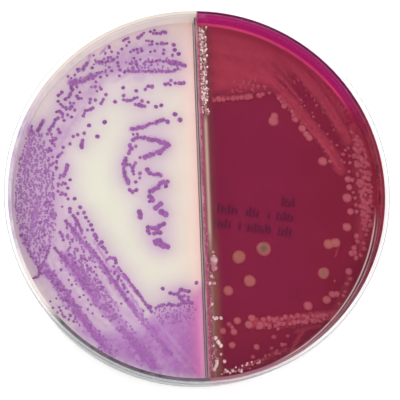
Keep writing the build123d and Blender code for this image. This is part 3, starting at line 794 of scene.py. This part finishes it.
class Shader:
    """A material's node tree, with short calls for the nodes used here."""

    def __init__(self, name, roughness, specular, coat=0.0):
        self.material = bpy.data.materials.new(name)
        self.material.use_nodes = True
        self.tree = self.material.node_tree
        self.body = self.tree.nodes["Principled BSDF"]
        self.body.inputs["Roughness"].default_value = roughness
        self.body.inputs["Specular IOR Level"].default_value = specular
        self.body.inputs["Coat Weight"].default_value = coat
        self.body.inputs["Coat Roughness"].default_value = 0.06

    def node(self, kind, **values):
        made = self.tree.nodes.new(kind)
        for key, value in values.items():
            setattr(made, key, value)
        return made

    def feed(self, socket, value):
        """Links a socket, or sets it to a number, a six-digit colour or a linear one."""
        if isinstance(value, bpy.types.NodeSocket):
            self.tree.links.new(value, socket)
        elif isinstance(value, str):
            socket.default_value = (*linear(value), 1)
        elif isinstance(value, tuple):
            socket.default_value = (*value, 1)
        else:
            socket.default_value = value

    def math(self, operation, *values, clamp=False):
        made = self.node("ShaderNodeMath", operation=operation, use_clamp=clamp)
        for socket, value in zip(made.inputs, values):
            self.feed(socket, value)
        return made.outputs[0]

    def times(self, first, second):
        return self.math("MULTIPLY", first, second)

    def plus(self, first, second):
        return self.math("ADD", first, second)

    def mix(self, share, first, second, blend="MIX"):
        """The first colour, moved towards the second by a share."""
        made = self.node("ShaderNodeMix", data_type="RGBA", blend_type=blend)
        self.feed(made.inputs[0], share)
        self.feed(made.inputs[6], first)
        self.feed(made.inputs[7], second)
        return made.outputs[2]

    def layers(self, base, *layers):
        """A base colour under layers of share and colour, each over the ones before it."""
        for share, colour in layers:
            base = self.mix(share, base, colour)
        return base

    def ramp(self, value, low, high):
        """0 at low, 1 at high, smooth between; low may be the larger one."""
        made = self.node("ShaderNodeMapRange", interpolation_type="SMOOTHSTEP")
        for socket, number in zip(made.inputs, (value, low, high, 0.0, 1.0)):
            self.feed(socket, number)
        return made.outputs[0]

    def place(self):
        """The object's own coordinates, in metres. At rest they are the shared frame's."""
        return self.node("ShaderNodeTexCoord").outputs["Object"]

    def axes(self):
        """x, y, z and distance from the middle, in millimetres."""
        scaled = self.node("ShaderNodeVectorMath", operation="SCALE")
        self.feed(scaled.inputs[0], self.place())
        scaled.inputs["Scale"].default_value = 1 / MM
        parts = self.node("ShaderNodeSeparateXYZ")
        self.feed(parts.inputs[0], scaled.outputs[0])
        x, y, z = parts.outputs
        return x, y, z, self.math("SQRT", self.plus(self.times(x, x), self.times(y, y)))

    def noise(self, size, detail=2.0, stretch=(1, 1, 1)):
        """Noise whose features are about size metres wide."""
        spread = self.node("ShaderNodeMapping")
        self.feed(spread.inputs["Vector"], self.place())
        spread.inputs["Scale"].default_value = stretch
        made = self.node("ShaderNodeTexNoise")
        self.feed(made.inputs["Vector"], spread.outputs[0])
        made.inputs["Scale"].default_value = 1 / size
        made.inputs["Detail"].default_value = detail
        return made.outputs["Fac"]

    def painted(self, name):
        """The colours that paint() gave the mesh under a name."""
        return self.node("ShaderNodeAttribute", attribute_name=name).outputs["Color"]

    def tone(self, name="tone"):
        """The three values of a painted colour, each on its own."""
        parts = self.node("ShaderNodeSeparateColor")
        self.feed(parts.inputs[0], self.painted(name))
        return parts.outputs

    def facing(self):
        """0 where a surface is seen head on, 1 where it is seen edge on."""
        made = self.node("ShaderNodeLayerWeight")
        made.inputs["Blend"].default_value = 0.5
        return made.outputs["Facing"]

    def bump(self, height, distance):
        """Small unevenness, up to distance metres high."""
        made = self.node("ShaderNodeBump")
        made.inputs["Distance"].default_value = distance
        self.feed(made.inputs["Height"], height)
        self.feed(self.body.inputs["Normal"], made.outputs[0])

    def colour(self, value):
        self.feed(self.body.inputs["Base Color"], value)

    def roughness(self, value):
        self.feed(self.body.inputs["Roughness"], value)

    def alpha(self, value):
        self.feed(self.body.inputs["Alpha"], value)


def gel_material(name):
    """Wet gel: its colours come with the mesh, with faint clouding and a surface that isn't quite flat."""
    s = Shader(name, 0.22, 0.06)
    cloud = s.ramp(s.noise(0.006, 3), 0.3, 0.7)
    shade = s.mix(cloud, "000000", "FFFFFF")
    s.colour(s.mix(0.05, s.painted("albedo"), shade, "SOFT_LIGHT"))
    s.roughness(s.plus(s.times(s.noise(0.003), 0.16), 0.16))
    s.bump(s.noise(0.0028, 2), 0.00006)
    return s.material


def film_material(name, deep, pale):
    """Growth film: the mesh's own colour, mottled where it is thick."""
    s = Shader(name, 0.4, 0.16)
    density = s.tone()[0]
    grain = s.ramp(s.noise(0.00045, 3), 0.35, 0.7)
    thick = s.ramp(density, 0.2, 0.9)
    flecks = s.ramp(s.noise(0.0007, 2), 0.6, 0.78)
    deeper = (s.times(s.times(grain, thick), 0.3), deep)
    paler = (s.times(s.times(flecks, thick), 0.3), pale)
    s.colour(s.layers(s.painted("albedo"), deeper, paler))
    s.roughness(s.plus(s.times(grain, 0.15), 0.32))
    s.bump(s.noise(0.0005, 3), 0.00005)
    return s.material


def violet_colony_material():
    """Violet colonies, lighter at the edge. The third value of tone is how pale each is."""
    s = Shader("violet_colony", 0.28, 0.25)
    chance, middle, pale = s.tone()[:3]
    edge = (s.times(s.ramp(middle, 0.5, 0.0), 0.7), "BA86BE")
    mottle = (s.times(s.noise(0.0003), 0.25), "7C4088")
    s.colour(s.layers(s.mix(chance, "8A4692", "A85CB0"), edge, (pale, "BE90C2"), mottle))
    s.roughness(s.plus(s.times(chance, 0.14), 0.24))
    s.bump(s.noise(0.0003), 0.00003)
    return s.material


def salmon_colony_material():
    """Salmon colonies, redder at the edge. The third value of tone is how faint each is."""
    s = Shader("salmon_colony", 0.3, 0.2)
    chance, middle, faint = s.tone()[:3]
    edge = (s.times(s.ramp(middle, 0.6, 0.0), 0.75), "922842")
    mottle = (s.times(s.noise(0.0008), 0.3), "9C3A50")
    s.colour(s.layers(s.mix(chance, "A63E54", "B65062"), edge, (faint, "9C3248"), mottle))
    s.roughness(s.plus(s.times(s.noise(0.0008), 0.2), 0.22))
    s.bump(s.noise(0.0004), 0.00003)
    return s.material


def large_colony_material():
    """Salmon or tan colonies. The third value of tone is how brown each is; dark holds its middle."""
    s = Shader("large_colony", 0.3, 0.2)
    chance, middle, brown = s.tone()[:3]
    dark = s.tone("dark")[0]
    edge = (s.times(s.ramp(middle, 0.6, 0.0), 0.85), "962A44")
    core = (s.times(s.ramp(middle, 0.3, 0.75), dark), "5F5444")
    mottle = (s.times(s.noise(0.0009, 3), 0.3), "A85C58")
    s.colour(s.layers(s.mix(brown, "B04862", "A4584E"), edge, core, mottle))
    s.roughness(s.plus(s.times(chance, 0.16), 0.26))
    s.bump(s.noise(0.0006), 0.00004)
    return s.material


def bead_material():
    """Wet growth: pale and glossy, or dull pink where the third value of tone is high. The pale colour is
    partly the growth's own and partly a painted highlight.
    """
    s = Shader("wet_beads", 0.08, 0.7, coat=0.8)
    chance, middle, dull = s.tone()[:3]
    # partly painted highlight: the near white end of this colour stands for glints
    pale = s.mix(s.ramp(chance, 0.2, 0.8), "BC7680", "FFE6DE")
    edge = (s.times(s.ramp(middle, 0.4, 0.0), 0.8), "A04A5C")
    s.colour(s.layers(pale, edge, (dull, s.mix(chance, "B04A6C", "DC8CA4"))))
    s.roughness(s.plus(s.times(s.noise(0.0006), 0.1), 0.06))
    s.bump(s.noise(0.0005), 0.00006)
    return s.material


def ink_material():
    """Matt dark ink, a little patchy."""
    s = Shader("print_ink", 0.7, 0.3)
    s.colour(s.mix(s.noise(0.0004, 3), (0.01, 0.008, 0.012), (0.05, 0.03, 0.05)))
    s.roughness(s.plus(s.times(s.noise(0.0005), 0.3), 0.5))
    return s.material


def wall_colour(s, x, y, z):
    """Painted light: the round wall takes up the colour of the gel beside it, most of all on the far side,
    as seen in the clear plastic. Faces that get little light are painted lighter, and the near side gets a
    painted dark reflection.
    """
    rim = s.ramp(z, RIM_HEIGHT - 0.2, RIM_HEIGHT - 0.05)
    mottle = s.ramp(s.noise(0.0022, 3, (1, 1, 0.4)), 0.3, 0.7)
    red_wall = s.layers(
        s.mix(mottle, "86203A", "AE3450"),
        (rim, "8C2238"),
        # painted light: the far inner face lighter magenta against its shade, the rim top darker
        (s.ramp(y, 12.0, 27.0), s.mix(rim, "CE1E88", "6A1248")),
        (s.ramp(y, -8.0, -16.0), "78243A"),
        (s.ramp(y, -28.0, -41.0), "A06474"),
    )
    growth_seen_in_wall = s.layers(
        s.mix(mottle, "E8CCE8", "FFF0FC"),
        (rim, s.mix(mottle, "C8ACCC", "E2D0E0")),
    )
    cream_wall = s.layers(
        growth_seen_in_wall,
        # painted light: the far cream face lighter against its shade
        (s.ramp(y, 16.0, 32.0), s.mix(rim, "FFF8EE", "F2E4D8")),
        (s.ramp(y, -10.0, -16.0), "F8E8E6"),
        # painted dark reflection on the near wall
        (s.ramp(y, -24.0, -30.0), s.mix(mottle, "4E444E", "6E606C")),
    )
    return s.mix(s.ramp(x, DIVIDER_X - 0.3, DIVIDER_X + 0.3), cream_wall, red_wall)


def divider_colour(s, x):
    """From left to right, all painted light: a dark side in shade, a pale crest, and pink where the red gel
    is seen through it.
    """
    streaks = s.ramp(s.noise(0.003, 3, (3, 0.3, 1)), 0.35, 0.7)
    beads = s.ramp(s.noise(0.0006, 2), 0.4, 0.65)
    crest = s.mix(streaks, "886470", "BC98A0")
    pink = s.mix(beads, "A03A5C", "CE7C92")
    off = s.math("SUBTRACT", x, DIVIDER_X)
    left = s.ramp(off, -CREST_HALF + 0.28, -CREST_HALF + 0.18)
    right = s.ramp(off, 0.02, 0.18)
    # the dark left side is painted shade; the pink is the red gel, painted as seen through the clear
    # divider
    return s.layers(crest, (right, pink), (left, "4C3238"))


def dish_material():
    """Clear plastic. Seen steeply from above, the wall and the divider take up the gels' colours, painted
    on as the light seen through them.
    """
    s = Shader("clear_dish", 0.07, 0.08)
    x, y, z, radius = s.axes()
    wall = s.ramp(radius, GEL_RADIUS - 0.12, GEL_RADIUS + 0.02)
    across = s.math("ABSOLUTE", s.math("SUBTRACT", x, DIVIDER_X))
    divider = s.times(s.ramp(across, 0.8, 0.66), s.ramp(z, 2.2, 2.6))
    divider = s.times(divider, s.math("SUBTRACT", 1.0, wall))
    steep = s.ramp(s.facing(), 0.45, 0.66)
    rim = s.math("MAXIMUM", steep, s.ramp(z, RIM_HEIGHT - 0.25, RIM_HEIGHT - 0.1))
    crest = s.math("MAXIMUM", steep, s.ramp(z, DIVIDER_TOP - 0.3, DIVIDER_TOP - 0.15))
    # painted light: where the wall and the divider show the gels' colours seen through them
    gel_seen_in_wall, gel_seen_in_divider = s.times(wall, rim), s.times(divider, crest)
    colour = s.mix(gel_seen_in_wall, "C6CED2", wall_colour(s, x, y, z))
    s.colour(s.mix(gel_seen_in_divider, colour, divider_colour(s, x)))
    red_side = s.ramp(x, DIVIDER_X - 0.3, DIVIDER_X + 0.3)
    mid_side = s.ramp(y, -26.0, -18.0)
    wall_alpha = s.plus(s.times(red_side, 0.08), s.plus(s.times(mid_side, 0.1), 0.82))
    solid = s.math("MAXIMUM", s.times(gel_seen_in_wall, wall_alpha), s.times(gel_seen_in_divider, 0.88))
    clear = s.plus(s.times(s.math("MAXIMUM", wall, divider), 0.12), 0.06)
    s.alpha(s.math("MAXIMUM", solid, clear, clamp=True))
    scuffs = s.ramp(s.noise(0.0022, 6, (1, 1, 0.3)), 0.5, 0.75)
    s.roughness(s.plus(s.times(scuffs, 0.08), 0.05))
    s.bump(s.noise(0.012, 1), 0.0001)
    return s.material


def lid_material():
    """Very clear plastic. It hardly shows from straight above; at a slant its plate and skirt do."""
    s = Shader("clear_lid", 0.05, 0.5, coat=0.3)
    _, _, z, radius = s.axes()
    facing = s.facing()
    above_foot = s.ramp(z, LID_LOW + 0.04, LID_LOW + 0.1)
    below_top = s.ramp(z, LID_PLATE_TOP - 0.04, LID_PLATE_TOP - 0.1)
    upright = s.times(above_foot, below_top)
    skirt = s.times(s.ramp(radius, LID_RADIUS - 0.8, LID_RADIUS - 0.6), upright)
    low_line = s.ramp(z, LID_LOW + 0.45, LID_LOW + 0.25)
    edges = s.math("MAXIMUM", low_line, s.ramp(z, LID_PLATE_TOP - 0.9, LID_PLATE_TOP - 0.7))
    plate_alpha = s.plus(s.times(s.ramp(facing, 0.15, 0.7), 0.14), 0.003)
    side_alpha = s.plus(s.times(edges, 0.4), 0.12)
    skirt_alpha = s.plus(s.times(s.ramp(facing, 0.65, 0.3), side_alpha), 0.015)
    plate = s.math("SUBTRACT", 1.0, skirt)
    s.alpha(s.plus(s.times(plate, plate_alpha), s.times(skirt, skirt_alpha)))
    # painted dark reflection: the skirt's low line and top edge darker grey, as clear edges look
    s.colour(s.mix(s.times(skirt, edges), "BCC4CA", "7E8A92"))
    scuffs = s.ramp(s.noise(0.0016, 6, (1, 0.4, 1)), 0.55, 0.8)
    s.roughness(s.plus(s.times(scuffs, 0.1), 0.04))
    s.bump(s.noise(0.015, 1), 0.00008)
    return s.material


def table_material():
    """Pale table that glows a little, so that it stays white round the dish."""
    s = Shader("pale_table", 0.6, 0.2)
    s.colour(s.mix(s.noise(0.05, 3), (0.93, 0.93, 0.93), (0.95, 0.95, 0.95)))
    s.body.inputs["Emission Color"].default_value = (1, 1, 1, 1)
    s.body.inputs["Emission Strength"].default_value = 0.3
    return s.material


# --- gel colours ----------------------------------------------------------------------------


def layered(x, base, layers):
    """A six-digit base colour for every point, under layers of share and six-digit colour."""
    colours = np.ones(x.shape + (3,)) * np.asarray(linear(base))
    for share, code in layers:
        share = np.clip(share, 0, 1)[..., None]
        colours = colours * (1 - share) + np.asarray(linear(code)) * share
    return colours


def cream_colours(x, y, density, haze):
    """Cream, lilac round the growth, and pink where the red gel glows through the divider. Lighter near the
    divider as painted light against its shade, with a painted highlight on the near rim's meniscus.
    """
    off = off_divider(x)
    out = np.hypot(x, y)
    near_lawn = smooth_step(-y, 19, 25)
    glow = np.exp(-off / 1.8) * (1 - near_lawn)
    pale_rim = smooth_step(out, 41.0, 42.4) * smooth_step(-y, 24, 31)
    crest = smooth_step(out, GEL_RADIUS - 0.6, GEL_RADIUS - 0.2)
    layers = [
        (0.8 * smooth_step(out, 24, 42), "EADED8"),
        # painted light: lighter cream near the divider, against the divider's shade
        (0.8 * np.exp(-off / 5), "FAE4D2"),
        (0.6 * smooth_step(y, 30, 43), "ECD6CA"),
        (haze, "C6A2C4"),
        (0.9 * glow, "FFD4D0"),
        (smooth_step(density, 0.02, 0.5), "C196C4"),
        (smooth_step(density, 0.35, 1.0), "AC66B2"),
        # painted light: the red gel's pink glow through the divider, where the lawn lies
        (0.75 * np.exp(-off / 3.6) * near_lawn, "B8549C"),
        (0.9 * np.exp(-((off / 2.4) ** 2)) * near_lawn, "DE78B6"),
        (0.8 * np.exp(-((off / 1.0) ** 2)) * near_lawn, "EAA6CE"),
        (0.8 * pale_rim * soft_noise(x, y, 0.8, 5), "DCC4DE"),
        # painted highlight along the near rim's meniscus
        (0.9 * crest * smooth_step(-y, 39.5, 42), "FDF4FB"),
    ]
    return layered(x, "E3E1CF", layers)


def red_colours(x, y, density, haze, ghost):
    """Deep red, with a painted tan highlight and a painted brown reflection and shade along the divider,
    and the print's soft shadow. Lighter near the walls: painted light against their shade, and growth at
    the right edge. Painted highlights lie on the meniscus.
    """
    off = off_divider(x)
    out = np.hypot(x, y)
    painted_light_near_wall = smooth_step(out, GEL_RADIUS - 6, GEL_RADIUS - 0.6) * smooth_step(y, 12, 24)
    growth_and_light_at_edge = smooth_step(out, GEL_RADIUS - 2.6, GEL_RADIUS - 0.3) * smooth_step(y, -14, -4)
    middle = smooth_step(y, -14, -6) * (1 - smooth_step(y, 18, 21))
    meniscus_highlight = np.exp(-(((off - 1.15) / 0.42) ** 2))
    low_divider_reflection = np.exp(-(((off - 1.9) / 1.0) ** 2)) * (1 - smooth_step(y, -14, -6))
    crest = smooth_step(out, GEL_RADIUS - 0.65, GEL_RADIUS - 0.3)
    line = np.exp(-(((out - GEL_RADIUS + 0.34) / 0.12) ** 2))
    glint = smooth_step(-y, 2, 10) * smooth_step(x, 12, 20)
    layers = [
        (smooth_step(x, 14, 36), "7A1834"),
        (0.8 * smooth_step(-y, 20, 40), "761A36"),
        (0.75 * smooth_step(y, 24, 30), "821C38"),
        (0.5 * haze, "881E34"),
        (0.85 * ghost, "42122E"),
        (0.9 * smooth_step(density, 0.05, 0.65), "A02C44"),
        (smooth_step(density, 0.35, 1.1), "AE3C4E"),
        # painted light: lighter red near the far wall, against the wall's shade
        (0.6 * painted_light_near_wall, "AC3452"),
        # lighter red near the right wall: partly growth, partly painted light against the wall's shade
        (0.6 * growth_and_light_at_edge, "A02440"),
        # painted reflection and shade of the divider: brown beside it
        (0.85 * (1 - smooth_step(off, 1.2, 3.8)), "784044"),
        # the same painted reflection and shade of the divider, wider in the lower part
        (0.6 * low_divider_reflection, "92584E"),
        # painted highlight on the meniscus along the divider
        (meniscus_highlight * (0.25 + 0.7 * middle), "DCBCAA"),
        (0.9 * (1 - smooth_step(off, 0.4, 0.8)), "B85C7A"),
        # painted highlight: bright pink line on the far meniscus
        (0.9 * crest * smooth_step(y, 18, 26), "EE4684"),
        (0.95 * line * glint, "FFE4E8"),
        # painted highlight: pale line on the near meniscus
        (0.8 * crest * smooth_step(-y, 40, 42), "F6DCE4"),
    ]
    return layered(x, "7C1A3C", layers)


def print_shadow(x, y):
    """How much of the print under the floor lies below each grid point, blurred."""
    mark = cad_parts["base_mark"]
    low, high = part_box("base_mark")
    tree = BVHTree.FromObject(mark, bpy.context.evaluated_depsgraph_get())
    down = Vector((0, 0, -1))
    shade = np.zeros(x.shape)
    blur = 0.22
    near = (x > low.x / MM - blur) & (x < high.x / MM + blur)
    near &= (y > low.y / MM - blur) & (y < high.y / MM + blur)
    turns = np.linspace(0, 2 * math.pi, 6, endpoint=False)
    shifts = [(0, 0)] + [(blur * math.cos(turn), blur * math.sin(turn)) for turn in turns]
    for row, column in zip(*np.nonzero(near)):
        hits = 0
        for dx, dy in shifts:
            start = mm(x[row, column] + dx, y[row, column] + dy, GEL_LEVEL)
            hits += tree.ray_cast(start, down)[0] is not None
        shade[row, column] = hits / len(shifts)
    return shade


# --- making ---------------------------------------------------------------------------------


def haze_round(x, y, colonies, density, near, wide):
    """The tinge that growth gives the gel round it: close by, and more widely where there is much."""
    amount = near * nearness(x, y, colonies, 0.9) + wide * nearness(x, y, colonies, 2.6)
    return 1 - np.exp(-amount - density)


def make_cream_side():
    """The cream gel with its violet growth."""
    x, y = gel_grid(CREAM)
    density = growth_density(x, y, VIOLET_FILMS, VIOLET_LAWNS, CREAM, 11)
    rows = row_colonies(VIOLET_ROWS, CREAM)
    singles = single_colonies(VIOLET_SINGLES, CREAM)
    dots = on_gel(np.concatenate([rows, singles, patch_colonies(VIOLET_PATCHES, CREAM)]))
    haze = haze_round(x, y, dots, density, 0.5, 1.5)
    haze = np.maximum(haze, lawn_density(x, y, VIOLET_CLOUDS, CREAM, 401))
    grains = on_gel(film_colonies(VIOLET_FILMS, CREAM, 0.75, 0.3))
    dots = np.concatenate([dots, grains])
    colours = cream_colours(x, y, density, haze)
    gel = gel_piece("cream_gel", CREAM, x, y, colours, "E5E3D1")
    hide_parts("cream_agar")
    growth = film_material("violet_film", "8C4C98", "CBA2CC")
    film = film_piece("violet_film", CREAM, x, y, density, colours, growth)
    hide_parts("violet_growth")
    grounds = footing(dots, x, y, density, CREAM)
    colonies = colony_piece("violet_dots", dots, grounds, 0.5, violet_colony_material())
    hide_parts("violet_colonies")


def make_large_colonies(x, y, density, spots):
    """The few large colonies on the red gel. The last column of their table darkens the middle."""
    segments, swelling = 28, 1.08
    spots[:, 2] *= swelling
    grounds = footing(spots, x, y, density, RED)
    big = colony_piece("large_dots", spots, grounds, 0.24, large_colony_material(), segments, 0.025)
    points = segments * len(DOME_RINGS) + 1
    dark = [row[4] for row in LARGE]
    paint(big, "dark", np.repeat(dark, points)[:, None] * np.ones((1, 3)))
    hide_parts("large_colonies")


def make_beads(x, y, density):
    """The wet growth along the divider's foot and the near rim, on the red side."""
    beads = row_colonies(BEAD_ROWS, RED)
    beads[:, 3] = 0.3
    beads = on_gel(np.concatenate([beads, patch_colonies(BEAD_PATCHES, RED)]))
    grounds = footing(beads, x, y, density, RED)
    wet = colony_piece("wet_beads", beads, grounds, 0.7, bead_material())
    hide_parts("divider_growth")


def make_red_side():
    """The red gel with its salmon and tan growth."""
    x, y = gel_grid(RED)
    density = growth_density(x, y, RED_FILMS, RED_LAWNS, RED, 611)
    rows = row_colonies(RED_ROWS, RED)
    singles = single_colonies(RED_SINGLES, RED)
    dots = on_gel(np.concatenate([rows, singles, patch_colonies(RED_PATCHES, RED)]))
    large = np.asarray(LARGE, float)
    spots = on_gel(single_colonies(large[:, :3], RED))
    spots[:, 3] = large[:, 3]
    haze = haze_round(x, y, np.concatenate([dots, spots]), density, 0.5, 0.8)
    colours = red_colours(x, y, density, haze, print_shadow(x, y))
    strong = [film for film in RED_FILMS if film[2] > 0.6]
    dots = np.concatenate([dots, on_gel(film_colonies(strong, RED, 1.2, 0.3))])
    gel = gel_piece("red_gel", RED, x, y, colours, "7F2141")
    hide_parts("red_agar")
    growth = film_material("salmon_film", "7E2238", "A84858")
    film = film_piece("salmon_film", RED, x, y, density, colours, growth)
    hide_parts("red_growth")
    grounds = footing(dots, x, y, density, RED)
    colonies = colony_piece("salmon_dots", dots, grounds, 0.42, salmon_colony_material())
    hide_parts("red_colonies")
    make_large_colonies(x, y, density, spots)
    make_beads(x, y, density)


def finish_cad_nodes():
    """The mouldings and the print keep their CAD shapes and get their materials."""
    looks = {"dish_base": dish_material(), "lid": lid_material(), "base_mark": ink_material()}
    for node, material in looks.items():
        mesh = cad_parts[node].data
        mesh.materials.clear()
        mesh.materials.append(material)


def soft_light(name, place_at, size, power):
    """A square area light that looks at the dish."""
    lamp = bpy.data.lights.new(name, "AREA")
    lamp.size = size
    lamp.energy = power
    made = bpy.data.objects.new(name, lamp)
    made.location = place_at
    made.rotation_mode = "QUATERNION"
    made.rotation_quaternion = (-Vector(place_at)).to_track_quat("-Z", "Y")
    bpy.context.scene.collection.objects.link(made)


def studio():
    """White surroundings, three soft lights and a pale table."""
    scene = bpy.context.scene
    scene.view_settings.view_transform = "Standard"
    world = bpy.data.worlds.new("studio")
    world.use_nodes = True
    background = world.node_tree.nodes["Background"]
    background.inputs["Color"].default_value = (1, 1, 1, 1)
    background.inputs["Strength"].default_value = WORLD_LIGHT
    scene.world = world
    for lamp in LAMPS:
        soft_light(*lamp)
    table = bpy.data.meshes.new("pale_table")
    corners = [(TABLE_REACH * x, TABLE_REACH * y, 0) for x, y in ((-1, -1), (1, -1), (1, 1), (-1, 1))]
    table.from_pydata(corners, [], [(0, 1, 2, 3)])
    table.materials.append(table_material())
    ground = bpy.data.objects.new("pale_table", table)
    scene.collection.objects.link(ground)


def camera():
    """Almost straight above the dish, a little towards -Y, with the divider's far end leaning left."""
    data = bpy.data.cameras.new("camera")
    data.lens = CAMERA_LENS
    data.clip_start, data.clip_end = 0.01, 10
    made = bpy.data.objects.new("camera", data)
    across = math.sin(CAMERA_TILT)
    back = Vector(
        (across * math.cos(CAMERA_SIDE), across * math.sin(CAMERA_SIDE), math.cos(CAMERA_TILT))
    )
    up = (Vector((0, 1, 0)) - back * back.y).normalized()
    right = up.cross(back)
    turned = up * math.cos(CAMERA_ROLL) - right * math.sin(CAMERA_ROLL)
    side = turned.cross(back)
    pose = Matrix((side, turned, back)).transposed().to_4x4()
    pose.translation = CAMERA_TARGET + back * CAMERA_DISTANCE
    made.matrix_world = pose
    bpy.context.scene.collection.objects.link(made)
    bpy.context.scene.camera = made


camera()
studio()
make_cream_side()
make_red_side()
finish_cad_nodes()
